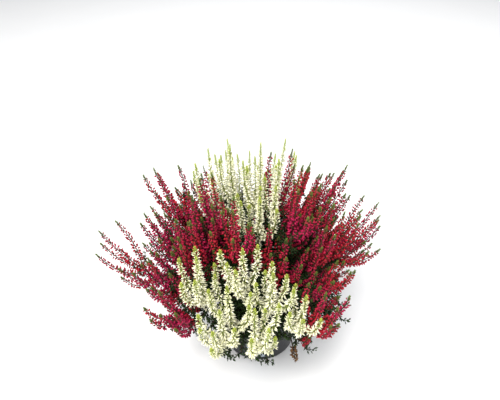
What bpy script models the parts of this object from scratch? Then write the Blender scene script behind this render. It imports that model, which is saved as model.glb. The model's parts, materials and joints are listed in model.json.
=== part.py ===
# Potted heather: a bushy bud-flowering heather in a round plastic nursery pot.
# Four rooted plants share the pot, two with crimson racemes and two with white ones.
# Metres, +Z up. The origin is the centre of the pot's underside; the front faces -Y.

import math
import random

import bmesh
import bpy
import numpy as np
from mathutils import Vector

# Pot
pot_height = 0.095
pot_base_radius = 0.0395
pot_neck_radius = 0.0515
pot_rim_radius = 0.0545
pot_rim_band = 0.0090
pot_wall = 0.0012
pot_floor = 0.0016
pot_foot_round = 0.0060
pot_lip = 0.0004
pot_edge = 0.0012
pot_segments = 32
drain_hole_radius = 0.0040
drain_hole_ring = 0.0240
drain_holes = 6
hole_segments = 8
cutter_overshoot = 0.0020

# Soil, with a plain hole for each rooted plant
touch_gap = 0.0003
soil_top = 0.0830
soil_relief = 0.0022
soil_shoulder = 0.0030
root_ring = 0.0165
root_depth = 0.0240
woody_radius = 0.0025
fork_height = 0.1010
fork_spread = 0.0040
rim_clearance = 0.0060
clear_of_rim_from = 0.0280

# Crown of flowering shoots: the tips lie on the upper half of an ellipsoid, which is drawn
# in at the front and the back
crown_radius = 0.1715
crown_height = 0.262
crown_middle = 0.130
crown_shift = -0.010
lowest_tip_angle = math.radians(95)
front_raised = 0.16
front_drawn_in = 0.20
back_drawn_in = 0.28
front_shortened = 0.16
lowest_foot = 0.058
spray_count = 53
inner_spray_every = 4
front_crowding = 0.36
shortest_raceme = 0.080
longest_raceme = 0.102
inner_share = 0.80
side_racemes = 150
most_sides = 3
most_sides_in_front = 5
side_fullness = 0.88
growing_room = 0.0006

# Racemes and leafy shoots: a slim core that buds or leaves stand out of
raceme_core = 0.0034
raceme_radius = 0.0070
bud_pitch = 0.0122
bud_lean = 0.55
shoot_core = 0.0011
shoot_radius = 0.0039
leaf_pitch = 0.0200
bare_stem = 0.0220
bare_radius = 0.0018
green_shoots = 8
green_shoot_tip = 0.030
shoot_point = 0.0040

golden_angle = math.radians(137.508)
draws = random.Random(39)

# Each rooted plant: its direction from the pot's axis and the colour of its flowers
plants = {
    "red_left": (math.radians(180), "crimson_flowers"),
    "red_right": (math.radians(0), "crimson_flowers"),
    "white_front": (math.radians(-90), "white_flowers"),
    "white_back": (math.radians(90), "white_flowers"),
}


def clear_scene():
    for thing in list(bpy.data.objects):
        bpy.data.objects.remove(thing, do_unlink=True)


def plain_material(name, colour, roughness):
    material = bpy.data.materials.new(name)
    material.use_nodes = True
    shader = material.node_tree.nodes["Principled BSDF"]
    shader.inputs["Base Color"].default_value = (*colour, 1.0)
    shader.inputs["Roughness"].default_value = roughness
    shader.inputs["Metallic"].default_value = 0.0
    return material


def make_materials():
    return {
        "pot_plastic": plain_material("pot_plastic", (0.035, 0.037, 0.040), 0.45),
        "soil": plain_material("soil", (0.045, 0.028, 0.018), 0.95),
        "leafy_stems": plain_material("leafy_stems", (0.045, 0.095, 0.025), 0.70),
        "crimson_flowers": plain_material("crimson_flowers", (0.48, 0.012, 0.045), 0.60),
        "white_flowers": plain_material("white_flowers", (0.80, 0.78, 0.55), 0.60),
    }


def add_object(name, vertices, faces, material=None):
    mesh = bpy.data.meshes.new(name)
    mesh.from_pydata(vertices, [], faces)
    mesh.validate()
    if material:
        mesh.materials.append(material)
    thing = bpy.data.objects.new(name, mesh)
    bpy.context.scene.collection.objects.link(thing)
    return thing


def apply_modifiers(thing):
    bpy.context.view_layer.update()
    graph = bpy.context.evaluated_depsgraph_get()
    mesh = bpy.data.meshes.new_from_object(thing.evaluated_get(graph))
    old_mesh = thing.data
    thing.modifiers.clear()
    thing.data = mesh
    mesh.name = thing.name
    bpy.data.meshes.remove(old_mesh)


def boolean(thing, others, operation, solver):
    group = bpy.data.collections.new(thing.name + "_tools")
    bpy.context.scene.collection.children.link(group)
    for other in others:
        bpy.context.scene.collection.objects.unlink(other)
        group.objects.link(other)
    modifier = thing.modifiers.new("join", "BOOLEAN")
    modifier.operand_type = "COLLECTION"
    modifier.collection = group
    modifier.operation = operation
    modifier.solver = solver
    apply_modifiers(thing)
    for other in others:
        bpy.data.objects.remove(other, do_unlink=True)
    bpy.data.collections.remove(group)


def keep_largest_body(thing):
    # Fills any hollow that fusing sealed and drops any loose scrap.
    mesh = bmesh.new()
    mesh.from_mesh(thing.data)
    left = set(mesh.verts)
    bodies = []
    while left:
        body = [left.pop()]
        for vertex in body:
            for edge in vertex.link_edges:
                other = edge.other_vert(vertex)
                if other in left:
                    left.remove(other)
                    body.append(other)
        bodies.append(body)
    for body in sorted(bodies, key=len)[:-1]:
        bmesh.ops.delete(mesh, geom=body, context="VERTS")
    mesh.to_mesh(thing.data)
    mesh.free()


# Turned pieces


def turned(name, profile, segments, material):
    # The profile runs from the axis at the bottom, round the outside, to the axis at the top.
    vertices = [(0.0, 0.0, profile[0][1])]
    for radius, height in profile[1:-1]:
        for k in range(segments):
            angle = 2 * math.pi * k / segments
            vertices.append((radius * math.cos(angle), radius * math.sin(angle), height))
    vertices.append((0.0, 0.0, profile[-1][1]))
    rings = len(profile) - 2
    faces = []
    for k in range(segments):
        after = (k + 1) % segments
        faces.append((0, 1 + after, 1 + k))
        for ring in range(rings - 1):
            low = 1 + ring * segments
            high = low + segments
            faces.append((low + k, low + after, high + after, high + k))
        top_ring = 1 + (rings - 1) * segments
        faces.append((top_ring + k, top_ring + after, len(vertices) - 1))
    return add_object(name, vertices, faces, material)


def pot_outer_radius(height):
    slope = (pot_neck_radius - pot_base_radius) / (pot_height - pot_rim_band)
    return pot_base_radius + slope * height


def arc(centre, radius, start, end, steps):
    angles = [math.radians(start + (end - start) * k / steps) for k in range(steps + 1)]
    return [(centre[0] + radius * math.cos(a), centre[1] + radius * math.sin(a)) for a in angles]


def make_pot(material):
    neck = pot_height - pot_rim_band
    foot_centre = (pot_outer_radius(pot_foot_round) - pot_foot_round, pot_foot_round)
    profile = [(0.0, 0.0)]
    profile += arc(foot_centre, pot_foot_round, -90, 0, 3)
    profile += [
        (pot_neck_radius, neck),
        (pot_rim_radius, neck + 2 * pot_lip),
        (pot_rim_radius + pot_lip, pot_height - pot_edge),
        (pot_rim_radius - pot_lip, pot_height),
        (pot_rim_radius - pot_wall, pot_height),
        (pot_rim_radius - pot_wall - pot_lip, pot_height - pot_edge),
        (pot_neck_radius - pot_wall, neck - pot_edge),
        (pot_outer_radius(pot_foot_round) - pot_wall, pot_foot_round + pot_lip),
        (foot_centre[0] + pot_edge, pot_floor),
        (0.0, pot_floor),
    ]
    pot = turned("pot", profile, pot_segments, material)
    holes = []
    for k in range(drain_holes):
        angle = 2 * math.pi * (k + 0.5) / drain_holes
        hole = turned(
            f"drain_hole_{k + 1}",
            [
                (0, -cutter_overshoot),
                (drain_hole_radius, -cutter_overshoot),
                (drain_hole_radius, pot_floor + cutter_overshoot),
                (0, pot_floor + cutter_overshoot),
            ],
            hole_segments,
            None,
        )
        hole.location = (
            drain_hole_ring * math.cos(angle),
            drain_hole_ring * math.sin(angle),
            0,
        )
        holes.append(hole)
    boolean(pot, holes, "DIFFERENCE", "EXACT")
    pot.data.shade_smooth()
    pot.data.set_sharp_from_angle(angle=math.radians(35))


def plant_root(name):
    direction = plants[name][0]
    return Vector((root_ring * math.cos(direction), root_ring * math.sin(direction), 0))


def make_soil(material):
    inner_top = pot_outer_radius(soil_top) - pot_wall - touch_gap
    inner_low = pot_outer_radius(pot_foot_round) - pot_wall - touch_gap
    low = pot_floor + touch_gap
    rim_radius = inner_top - touch_gap
    profile = [(0, low), (inner_low - pot_foot_round, low)]
    profile.append((inner_low - touch_gap, pot_foot_round + pot_edge))
    profile.append((rim_radius, soil_top - soil_shoulder))
    for share in (0.93, 0.72, 0.48, 0.24):
        profile.append((rim_radius * share, soil_top))
    profile.append((0, soil_top))
    soil = turned("soil", profile, pot_segments, material)
    for vertex in soil.data.vertices:
        if vertex.co.z >= soil_top - 1e-6:
            crumb = math.sin(190 * vertex.co.x + 1.3) * math.cos(240 * vertex.co.y + 0.4)
            crumb += 0.6 * math.sin(520 * vertex.co.x - 410 * vertex.co.y)
            vertex.co.z += soil_relief * crumb
    holes = []
    for name in plants:
        bottom = soil_top - root_depth - touch_gap
        top = fork_height
        radius = woody_radius + touch_gap
        profile = [(0, bottom), (radius, bottom), (radius, top), (0, top)]
        hole = turned("hole_" + name, profile, hole_segments, None)
        hole.location = plant_root(name)
        holes.append(hole)
    boolean(soil, holes, "DIFFERENCE", "EXACT")


# Curved shoots


def curve_points(handles, count=61):
    a, b, c, d = (np.array(h, float) for h in handles)
    t = np.linspace(0, 1, count)[:, None]
    return a * (1 - t) ** 3 + 3 * b * t * (1 - t) ** 2 + 3 * c * t**2 * (1 - t) + d * t**3


def lengths_along(points):
    steps = np.linalg.norm(np.diff(points, axis=0), axis=1)
    return np.concatenate([[0], np.cumsum(steps)])


def at_lengths(points, wanted):
    along = lengths_along(points)
    return np.stack([np.interp(wanted, along, points[:, k]) for k in range(3)], 1)


def studded_shoot(name, points, rings, sides, pointed):
    # Each ring is (distance along the curve, core radius, stud radius, stud lean in metres).
    # Every second corner of a studded ring stands out as a bud or leaf, staggered ring by ring.
    distances = np.array([ring[0] for ring in rings])
    centres = at_lengths(points, distances)
    ahead = at_lengths(points, distances + 0.0005)
    behind = at_lengths(points, np.maximum(distances - 0.0005, 0))
    tangents = [Vector(v).normalized() for v in ahead - behind]
    normal = tangents[0].orthogonal().normalized()
    vertices = []
    for k, (_, core, stud, lean) in enumerate(rings):
        tangent = tangents[k]
        normal = (normal - tangent * normal.dot(tangent)).normalized()
        across = tangent.cross(normal)
        for side in range(sides):
            angle = 2 * math.pi * side / sides
            stands_out = stud > 0 and (k + side) % 2 == 0
            radius = stud if stands_out else core
            outward = normal * math.cos(angle) + across * math.sin(angle)
            place = Vector(centres[k]) + outward * radius
            if stands_out:
                place += tangent * lean
            vertices.append(place)
    faces = [tuple(range(sides - 1, -1, -1))]
    for k in range(len(rings) - 1):
        for side in range(sides):
            after = (side + 1) % sides
            a = k * sides + side
            b = k * sides + after
            c = b + sides
            d = a + sides
            if (k + side) % 2 == 0:
                faces += [(a, b, d), (b, c, d)]
            else:
                faces += [(a, b, c), (a, c, d)]
    last = (len(rings) - 1) * sides
    if pointed:
        vertices.append(Vector(centres[-1]) + tangents[-1] * pointed)
        for side in range(sides):
            faces.append((last + side, last + (side + 1) % sides, len(vertices) - 1))
    else:
        faces.append(tuple(last + side for side in range(sides)))
    return add_object(name, vertices, faces)


def raceme_profile(share):
    # Fullest in its lower half, drawn out to a slim tip.
    swell = min(1.0, 0.66 + 1.8 * share)
    return swell * (1 - 0.60 * max(0.0, share - 0.40) / 0.60)


def raceme_rings(start, length, fullness=1.0):
    count = max(4, round(length / bud_pitch))
    rings = []
    for k in range(count):
        share = k / count
        size = raceme_profile(share) * fullness
        stud = raceme_radius * size if k > 0 else 0
        pitch = length / count
        rings.append((start + length * share, raceme_core * size, stud, bud_lean * pitch))
    return rings


def make_raceme(name, points, start, length, fullness=1.0):
    rings = raceme_rings(start, length * 0.97, fullness)
    return studded_shoot(name, points, rings, 4, length * 0.09)


def make_leafy_shoot(name, points, length, pointed=0.0):
    rings = [(0.0, 0.0016, 0, 0), (bare_stem, 0.0013, 0, 0)]
    leafy = max(2, round((length - bare_stem) / leaf_pitch))
    pitch = (length - bare_stem) / leafy
    for k in range(1, leafy + 1):
        stud = shoot_radius if k < leafy else 0
        rings.append((bare_stem + pitch * k, shoot_core, stud, 0.5 * pitch))
    return studded_shoot(name, points, rings, 4, pointed)


# Layout of the crown


def flower_colour(tip, chance):
    # White racemes fill the middle of the front and of the back, crimson ones the rest, with
    # a few strays of either colour.
    x, y, _ = tip
    low_front = y < -0.100 and -0.068 < x < 0.056
    front_left = -0.086 < x < -0.034 and -0.124 < y < -0.072
    front_right = 0.010 < x < 0.036 and -0.124 < y < -0.068
    back = y > -0.040 and -0.058 < x < 0.036
    if low_front or front_left or front_right or back:
        return "white_flowers" if chance > 0.07 else "crimson_flowers"
    return "crimson_flowers" if chance > 0.05 or y < 0 else "white_flowers"


def nearest_plant(colour, tip):
    def off(name):
        return (plant_root(name) - Vector((tip[0], tip[1], 0)).normalized() * root_ring).length

    return min((name for name in plants if plants[name][1] == colour), key=off)


def frontness(azimuth):
    return max(0.0, -math.sin(azimuth)) ** 1.5


def tip_place(polar, azimuth, reach):
    across = math.sin(azimuth)
    drawn_in = front_drawn_in * max(0.0, -across) + back_drawn_in * max(0.0, across)
    wide = crown_radius * math.sin(polar) * reach * (1 - drawn_in)
    shift = crown_shift * min(1.0, polar / math.radians(60))
    high = crown_middle + (crown_height - crown_middle) * math.cos(polar) * reach
    return np.array([wide * math.cos(azimuth) + shift, wide * math.sin(azimuth), high])


def shoot_curve(plant, polar, azimuth, reach, length):
    # A shoot leaves the fork, bends out over the rim if it is a low one, turns up to the foot
    # of its raceme and grows on almost straight to its tip. Returns its points and that foot.
    outward = np.array([math.cos(azimuth), math.sin(azimuth), 0.0])
    up = np.array([0.0, 0.0, 1.0])
    lowness = min(1.0, polar / math.radians(90))
    low_on_fork = fork_spread * (1 + draws.random())
    start = np.array(plant_root(plant)) + up * (fork_height - low_on_fork)
    tip = tip_place(polar, azimuth, reach)
    rise = math.radians(86 - 52 * lowness**1.1)
    leave = outward * math.cos(rise) + up * math.sin(rise)
    lean = 0.46 * polar * (1 - 0.75 * frontness(azimuth)) + math.radians(draws.uniform(-6, 6))
    arrive = outward * math.sin(lean) + up * math.cos(lean)
    foot_lean = lean + math.radians(6 + 16 * lowness)
    turn_up = outward * math.sin(foot_lean) + up * math.cos(foot_lean)
    foot = tip - (arrive + turn_up) * 0.5 * length
    apart = np.linalg.norm(foot - start)
    leaving = start + leave * apart * 0.48
    stem = curve_points([start, leaving, foot - turn_up * apart * 0.32, foot], 31)
    raceme = curve_points([foot, foot + turn_up * length / 3, tip - arrive * length / 3, tip], 31)
    return np.concatenate([stem, raceme[1:]]), lengths_along(stem)[-1]


def clashes(points, radii, placed, own_nodes, gap):
    for other in placed:
        if other["node"] in own_nodes:
            continue
        apart = np.linalg.norm(points[:, None] - other["points"][None], axis=2)
        if (apart < radii[:, None] + other["radii"][None] + gap).any():
            return True
    return False


def sampled(points, start, end, radius_at):
    wanted = np.linspace(start, end, max(3, int((end - start) / 0.003)))
    return at_lengths(points, wanted), np.array([radius_at(w) for w in wanted])


def stem_radius_at(distance):
    return bare_radius if distance < bare_stem else shoot_radius


def raceme_radius_at(start, length, fullness):
    def radius(distance):
        share = min(1.0, max(0.0, (distance - start) / length))
        return raceme_radius * fullness * raceme_profile(share)

    return radius


def above_rim(points):
    # The pot's rim and upper wall stay clear of every shoot.
    flat = np.hypot(points[:, 0], points[:, 1])
    over = (flat < pot_rim_radius + rim_clearance) & (points[:, 2] < pot_height + rim_clearance)
    near = (flat > clear_of_rim_from) & over
    return not near.any()


def plan_spray(k, placed, name):
    # Tries to grow spray k near its own place on the crown, clear of all that stands already.
    span = 1 - math.cos(lowest_tip_angle)
    turn = k // spray_count
    place = (k % spray_count + 0.5 + 0.31 * turn) / spray_count
    base_polar = math.acos(1 - span * (place % 1.0))
    base_azimuth = k * golden_angle - front_crowding * math.cos(k * golden_angle)
    for attempt in range(40):
        spread = 0.4 + attempt / 16
        azimuth = base_azimuth + math.radians(draws.uniform(-6, 6)) * spread
        lowest = lowest_tip_angle * (1 - front_raised * frontness(azimuth))
        polar = base_polar + math.radians(draws.uniform(-5, 5)) * spread
        polar = min(max(polar, 0.05), lowest)
        reach = draws.uniform(0.92, 1.0)
        length = draws.uniform(shortest_raceme, longest_raceme)
        length *= 1 - front_shortened * frontness(azimuth)
        if k % inner_spray_every == 2:
            reach = draws.uniform(0.62, 0.78)
            polar *= 0.85
            length *= inner_share
        tip = tip_place(polar, azimuth, reach)
        colour = flower_colour(tip, draws.random())
        plant = nearest_plant(colour, tip)
        points, start = shoot_curve(plant, polar, azimuth, reach, length)
        total = lengths_along(points)[-1]
        stem = sampled(points, 0, start, stem_radius_at)
        flowers = sampled(points, start, total, raceme_radius_at(start, total - start, 1.0))
        if start < bare_stem + 0.012 or points[10:, 2].min() < lowest_foot:
            continue
        if not above_rim(points) or clashes(*stem, placed, (plant,), growing_room):
            continue
        if clashes(*flowers, placed, (), growing_room):
            continue
        placed.append({"node": plant, "points": stem[0], "radii": stem[1]})
        placed.append({"node": name, "points": flowers[0], "radii": flowers[1]})
        return {
            "name": name,
            "plant": plant,
            "colour": colour,
            "points": points,
            "start": start,
            "length": total - start,
            "sides": [],
        }
    return None


def plan_sprays():
    placed = []
    sprays = []
    for k in range(4 * spray_count):
        spray = plan_spray(k, placed, f"spray_{len(sprays) + 1:02d}")
        if spray:
            sprays.append(spray)
        if len(sprays) == spray_count:
            break
    return sprays, placed


def side_curve(spray):
    # A side raceme leaves the main one low down and grows up beside it.
    points = spray["points"]
    leave_at = spray["start"] + draws.uniform(0.004, 0.020)
    length = draws.uniform(0.60, 0.78) * spray["length"]
    end_at = leave_at + length * 0.96
    start, near_end = at_lengths(points, [leave_at, min(end_at, lengths_along(points)[-1])])
    low, high = at_lengths(points, [leave_at, leave_at + 0.002])
    tangent = (high - low) / np.linalg.norm(high - low)
    low, high = at_lengths(points, [end_at - 0.004, end_at])
    late = (high - low) / max(np.linalg.norm(high - low), 1e-9)
    turn = draws.uniform(0, 2 * math.pi)
    first = np.array(Vector(tangent).orthogonal().normalized())
    second = np.cross(tangent, first)
    aside = first * math.cos(turn) + second * math.sin(turn)
    offset = draws.uniform(0.0150, 0.0240)
    tip = near_end + aside * offset
    away = tangent * 0.62 + aside * 0.78
    return curve_points([start, start + away * 0.017, tip - late * 0.030, tip], 41)


def own_flowers(spray):
    # The upper main raceme and the side racemes that a further side raceme keeps clear of.
    top = spray["start"] + spray["length"]
    main = sampled(spray["points"], spray["start"] + 0.030, top, lambda distance: 0.0045)
    own = [{"node": "", "points": main[0], "radii": main[1]}]
    for side in spray["sides"]:
        own.append({"node": "", "points": side[8:], "radii": np.full(len(side) - 8, 0.0040)})
    return own


def plan_side(spray, placed):
    # Tries to grow one more side raceme on the spray.
    for _ in range(30):
        points = side_curve(spray)
        total = lengths_along(points)[-1]
        flowers = sampled(points, 0, total, raceme_radius_at(0, total, side_fullness))
        half = len(flowers[0]) // 2
        if not above_rim(points):
            continue
        if clashes(flowers[0][half:], flowers[1][half:], own_flowers(spray), (), touch_gap):
            continue
        if clashes(*flowers, placed, (spray["name"],), growing_room):
            continue
        placed.append({"node": spray["name"], "points": flowers[0], "radii": flowers[1]})
        spray["sides"].append(points)
        return True
    return False


def plan_sides(sprays, placed):
    # The sprays grow their side racemes in turns. Those in front carry the most.
    made = 0
    for turn in range(most_sides_in_front):
        for spray in sprays:
            in_front = spray["points"][-1][1] < -0.05
            most = most_sides_in_front if in_front else most_sides
            front_turn = turn == 1 and not in_front
            if made == side_racemes or len(spray["sides"]) >= most or front_turn:
                continue
            made += plan_side(spray, placed)


def plan_green_shoots(placed):
    # Short leafy shoots without flowers, low round the rim.
    shoots = []
    for k in range(green_shoots):
        for _ in range(60):
            azimuth = k * 2 * math.pi / green_shoots + math.radians(draws.uniform(-22, 22))
            polar = math.radians(draws.uniform(62, 88))
            direction = Vector((math.cos(azimuth), math.sin(azimuth), 0))
            plant = min(plants, key=lambda n: (plant_root(n) - direction * root_ring).length)
            reach = draws.uniform(0.58, 0.72)
            points, _ = shoot_curve(plant, polar, azimuth, reach, green_shoot_tip)
            total = lengths_along(points)[-1]
            stem = sampled(points, 0, total, stem_radius_at)
            if not above_rim(points) or clashes(*stem, placed, (plant,), growing_room):
                continue
            placed.append({"node": plant, "points": stem[0], "radii": stem[1]})
            shoots.append({"plant": plant, "points": points, "length": total})
            break
    return shoots


# Pieces of the plants


def make_woody_base(plant):
    root = plant_root(plant)
    low = soil_top - root_depth
    points = np.array([[root.x, root.y, low], [root.x, root.y, fork_height + fork_spread]])
    height = fork_height - low
    rings = [
        (0.0, woody_radius, 0, 0),
        (height - 1.5 * fork_spread, woody_radius, 0, 0),
        (height, 0.8 * woody_radius, 0, 0),
    ]
    return studded_shoot(plant + "_base", points, rings, hole_segments, 0.5 * woody_radius)


def make_plant(plant, sprays, shoots, material):
    parts = [make_woody_base(plant)]
    for spray in sprays:
        if spray["plant"] == plant:
            length = spray["start"] - touch_gap
            parts.append(make_leafy_shoot(spray["name"] + "_stem", spray["points"], length))
    for k, shoot in enumerate(shoots):
        if shoot["plant"] == plant:
            length = shoot["length"] * 0.97
            parts.append(make_leafy_shoot(f"shoot_{k}", shoot["points"], length, shoot_point))
    body = parts[0]
    body.name = plant + "_stems"
    boolean(body, parts[1:], "UNION", "MANIFOLD")
    keep_largest_body(body)
    body.data.materials.clear()
    body.data.materials.append(material)


def make_spray(spray, material):
    body = make_raceme(spray["name"], spray["points"], spray["start"], spray["length"])
    sides = []
    for k, points in enumerate(spray["sides"]):
        total = lengths_along(points)[-1]
        sides.append(make_raceme(f"{spray['name']}_side_{k}", points, 0, total, side_fullness))
    if sides:
        boolean(body, sides, "UNION", "MANIFOLD")
        keep_largest_body(body)
    body.data.materials.clear()
    body.data.materials.append(material)


def main():
    clear_scene()
    materials = make_materials()
    make_pot(materials["pot_plastic"])
    make_soil(materials["soil"])
    sprays, placed = plan_sprays()
    plan_sides(sprays, placed)
    shoots = plan_green_shoots(placed)
    for plant in plants:
        make_plant(plant, sprays, shoots, materials["leafy_stems"])
    for spray in sprays:
        make_spray(spray, materials[spray["colour"]])


main()
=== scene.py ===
import json
import math
import random

import bpy
import numpy as np
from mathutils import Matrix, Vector

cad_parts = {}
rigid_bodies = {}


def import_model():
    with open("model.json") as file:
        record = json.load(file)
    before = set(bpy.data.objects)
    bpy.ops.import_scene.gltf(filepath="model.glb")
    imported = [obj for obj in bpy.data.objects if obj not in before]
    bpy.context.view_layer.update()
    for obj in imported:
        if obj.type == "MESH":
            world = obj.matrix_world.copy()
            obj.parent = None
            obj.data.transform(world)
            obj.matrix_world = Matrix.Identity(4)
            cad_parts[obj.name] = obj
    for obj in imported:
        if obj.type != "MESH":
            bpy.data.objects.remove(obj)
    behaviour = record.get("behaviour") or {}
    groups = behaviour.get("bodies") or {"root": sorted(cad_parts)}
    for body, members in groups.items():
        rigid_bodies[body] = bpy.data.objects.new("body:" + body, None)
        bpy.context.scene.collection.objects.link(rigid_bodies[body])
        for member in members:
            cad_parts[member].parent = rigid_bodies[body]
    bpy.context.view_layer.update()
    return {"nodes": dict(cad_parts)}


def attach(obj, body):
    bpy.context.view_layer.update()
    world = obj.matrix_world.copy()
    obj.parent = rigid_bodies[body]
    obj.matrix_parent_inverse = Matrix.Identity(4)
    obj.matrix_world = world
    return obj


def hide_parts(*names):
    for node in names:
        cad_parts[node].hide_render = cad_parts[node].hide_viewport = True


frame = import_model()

print("frame loaded:", len(frame["nodes"]), "nodes")

# Camera, light and floor

view = {"place": (-0.011, -0.519, 0.550), "lookDown": 34.0, "focalPixels": 604.0, "frameWidth": 500.0}

cameraData = bpy.data.cameras.new("studioCamera")
cameraData.lens = 36.0 * view["focalPixels"] / view["frameWidth"]
cameraData.clip_start = 0.01
camera = bpy.data.objects.new("studioCamera", cameraData)
camera.location = view["place"]
camera.rotation_euler = (math.radians(90 - view["lookDown"]), 0, 0)
bpy.context.scene.collection.objects.link(camera)
bpy.context.scene.camera = camera
bpy.context.scene.view_settings.view_transform = "Standard"

studio = {
    "skyColour": (0.93, 0.96, 1.0, 1.0),
    "skyStrength": 0.36,
    "lamps": [  # name, place, width, power, colour
        ("keyLight", (-0.45, -1.00, 1.60), 1.0, 50.0, (1.0, 0.985, 0.96)),
        ("fillLight", (1.15, -0.65, 1.00), 1.0, 9.0, (0.97, 0.98, 1.0)),
        ("backLight", (0.15, 1.25, 1.35), 1.0, 12.0, (1.0, 1.0, 1.0)),
    ],
    "floorHalf": 3.0,
}

world = bpy.data.worlds.new("paleStudio")
world.use_nodes = True
world.node_tree.nodes["Background"].inputs["Color"].default_value = studio["skyColour"]
world.node_tree.nodes["Background"].inputs["Strength"].default_value = studio["skyStrength"]
bpy.context.scene.world = world
for name, place, width, power, colour in studio["lamps"]:
    lamp = bpy.data.lights.new(name, "AREA")
    lamp.size = width
    lamp.energy = power
    lamp.color = colour
    holder = bpy.data.objects.new(name, lamp)
    holder.location = place
    holder.rotation_euler = (Vector((0, 0, 0.12)) - Vector(place)).to_track_quat("-Z", "Y").to_euler()
    bpy.context.scene.collection.objects.link(holder)

# Shared shader groups


def newGroup(name, inputs, outputs):
    group = bpy.data.node_groups.new(name, "ShaderNodeTree")
    for label, kind, value in inputs:
        group.interface.new_socket(label, in_out="INPUT", socket_type=kind).default_value = value
    for label, kind in outputs:
        group.interface.new_socket(label, in_out="OUTPUT", socket_type=kind)
    return group, group.nodes.new("NodeGroupInput"), group.nodes.new("NodeGroupOutput")


def feed(tree, value, socket):
    # A number or colour is set on the socket, an output is linked to it.
    if isinstance(value, (int, float, tuple)):
        socket.default_value = value
    else:
        tree.links.new(value, socket)


def rangeOf(tree, value, low, high, outLow=0.0, outHigh=1.0):
    node = tree.nodes.new("ShaderNodeMapRange")
    limits = {"Value": value, "From Min": low, "From Max": high, "To Min": outLow, "To Max": outHigh}
    for label, limit in limits.items():
        feed(tree, limit, node.inputs[label])
    return node.outputs["Result"]


def mixOf(tree, factor, first, second):
    node = tree.nodes.new("ShaderNodeMix")
    node.data_type = "RGBA"
    for value, socket in ((factor, node.inputs[0]), (first, node.inputs[6]), (second, node.inputs[7])):
        feed(tree, value, socket)
    return node.outputs[2]


def noiseOf(tree, scale, detail=3.0, rough=0.55):
    coordinates = tree.nodes.new("ShaderNodeTexCoord")
    node = tree.nodes.new("ShaderNodeTexNoise")
    tree.links.new(coordinates.outputs["Object"], node.inputs["Vector"])
    feed(tree, scale, node.inputs["Scale"])
    node.inputs["Detail"].default_value = detail
    node.inputs["Roughness"].default_value = rough
    return node.outputs["Fac"]


def timesOf(tree, first, second):
    node = tree.nodes.new("ShaderNodeMath")
    node.operation = "MULTIPLY"
    feed(tree, first, node.inputs[0])
    feed(tree, second, node.inputs[1])
    return node.outputs[0]


def shadedOf(tree, colour, value):
    node = tree.nodes.new("ShaderNodeHueSaturation")
    tree.links.new(colour, node.inputs["Color"])
    tree.links.new(value, node.inputs["Value"])
    return node.outputs["Color"]


def makeGrowthColours():
    # A bud or leaf runs from its base to its tip colour. Each one is a little lighter or darker,
    # patches of the plant lean to a second hue, and the young end of a shoot to a third.
    group, inside, out = newGroup(
        "growthColours",
        [
            ("Base", "NodeSocketColor", (0.2, 0.2, 0.1, 1)),
            ("Middle", "NodeSocketColor", (0.5, 0.5, 0.5, 1)),
            ("Tip", "NodeSocketColor", (0.8, 0.8, 0.8, 1)),
            ("Patch", "NodeSocketColor", (0.5, 0.5, 0.5, 1)),
            ("Patch Scale", "NodeSocketFloat", 16.0),
            ("Patch Amount", "NodeSocketFloat", 0.5),
            ("Young", "NodeSocketColor", (0.3, 0.5, 0.1, 1)),
            ("Young Amount", "NodeSocketFloat", 0.5),
        ],
        [("Colour", "NodeSocketColor")],
    )
    attribute = group.nodes.new("ShaderNodeAttribute")
    attribute.attribute_name = "growth"
    split = group.nodes.new("ShaderNodeSeparateColor")
    group.links.new(attribute.outputs["Color"], split.inputs["Color"])
    along, chance, age = split.outputs["Red"], split.outputs["Green"], split.outputs["Blue"]
    # On the crimson buds, the cream buds and the leaves the darker base colour is partly painted shade near
    # the stalk.
    colour = mixOf(
        group, rangeOf(group, along, 0.04, 0.42), inside.outputs["Base"], inside.outputs["Middle"]
    )
    colour = mixOf(group, rangeOf(group, along, 0.5, 1.0), colour, inside.outputs["Tip"])
    patches = rangeOf(group, noiseOf(group, inside.outputs["Patch Scale"], 1.0), 0.42, 0.62)
    patches = timesOf(group, patches, inside.outputs["Patch Amount"])
    colour = mixOf(group, patches, colour, inside.outputs["Patch"])
    young = timesOf(group, rangeOf(group, age, 0.62, 1.0), inside.outputs["Young Amount"])
    colour = mixOf(group, young, colour, inside.outputs["Young"])
    colour = shadedOf(group, colour, rangeOf(group, chance, 0.0, 1.0, 0.66, 1.24))
    group.links.new(colour, out.inputs["Colour"])
    return group


def makeFineGrain():
    # Small uneven relief with the roughness that goes with it.
    group, inside, out = newGroup(
        "fineGrain",
        [
            ("Scale", "NodeSocketFloat", 400.0),
            ("Smooth", "NodeSocketFloat", 0.4),
            ("Dull", "NodeSocketFloat", 0.7),
        ],
        [("Height", "NodeSocketFloat"), ("Roughness", "NodeSocketFloat")],
    )
    grain = noiseOf(group, inside.outputs["Scale"], 4.0)
    group.links.new(grain, out.inputs["Height"])
    roughness = rangeOf(group, grain, 0.3, 0.7, inside.outputs["Smooth"], inside.outputs["Dull"])
    group.links.new(roughness, out.inputs["Roughness"])
    return group


growthColours = makeGrowthColours()
fineGrain = makeFineGrain()


def startMaterial(name):
    material = bpy.data.materials.new(name)
    material.use_nodes = True
    return material, material.node_tree, material.node_tree.nodes["Principled BSDF"]


def addGrain(tree, shader, scale, smooth, dull, height, strength=0.6):
    grain = tree.nodes.new("ShaderNodeGroup")
    grain.node_tree = fineGrain
    grain.inputs["Scale"].default_value = scale
    grain.inputs["Smooth"].default_value = smooth
    grain.inputs["Dull"].default_value = dull
    tree.links.new(grain.outputs["Roughness"], shader.inputs["Roughness"])
    bump = tree.nodes.new("ShaderNodeBump")
    bump.inputs["Strength"].default_value = strength
    bump.inputs["Distance"].default_value = height
    tree.links.new(grain.outputs["Height"], bump.inputs["Height"])
    tree.links.new(bump.outputs["Normal"], shader.inputs["Normal"])


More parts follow.
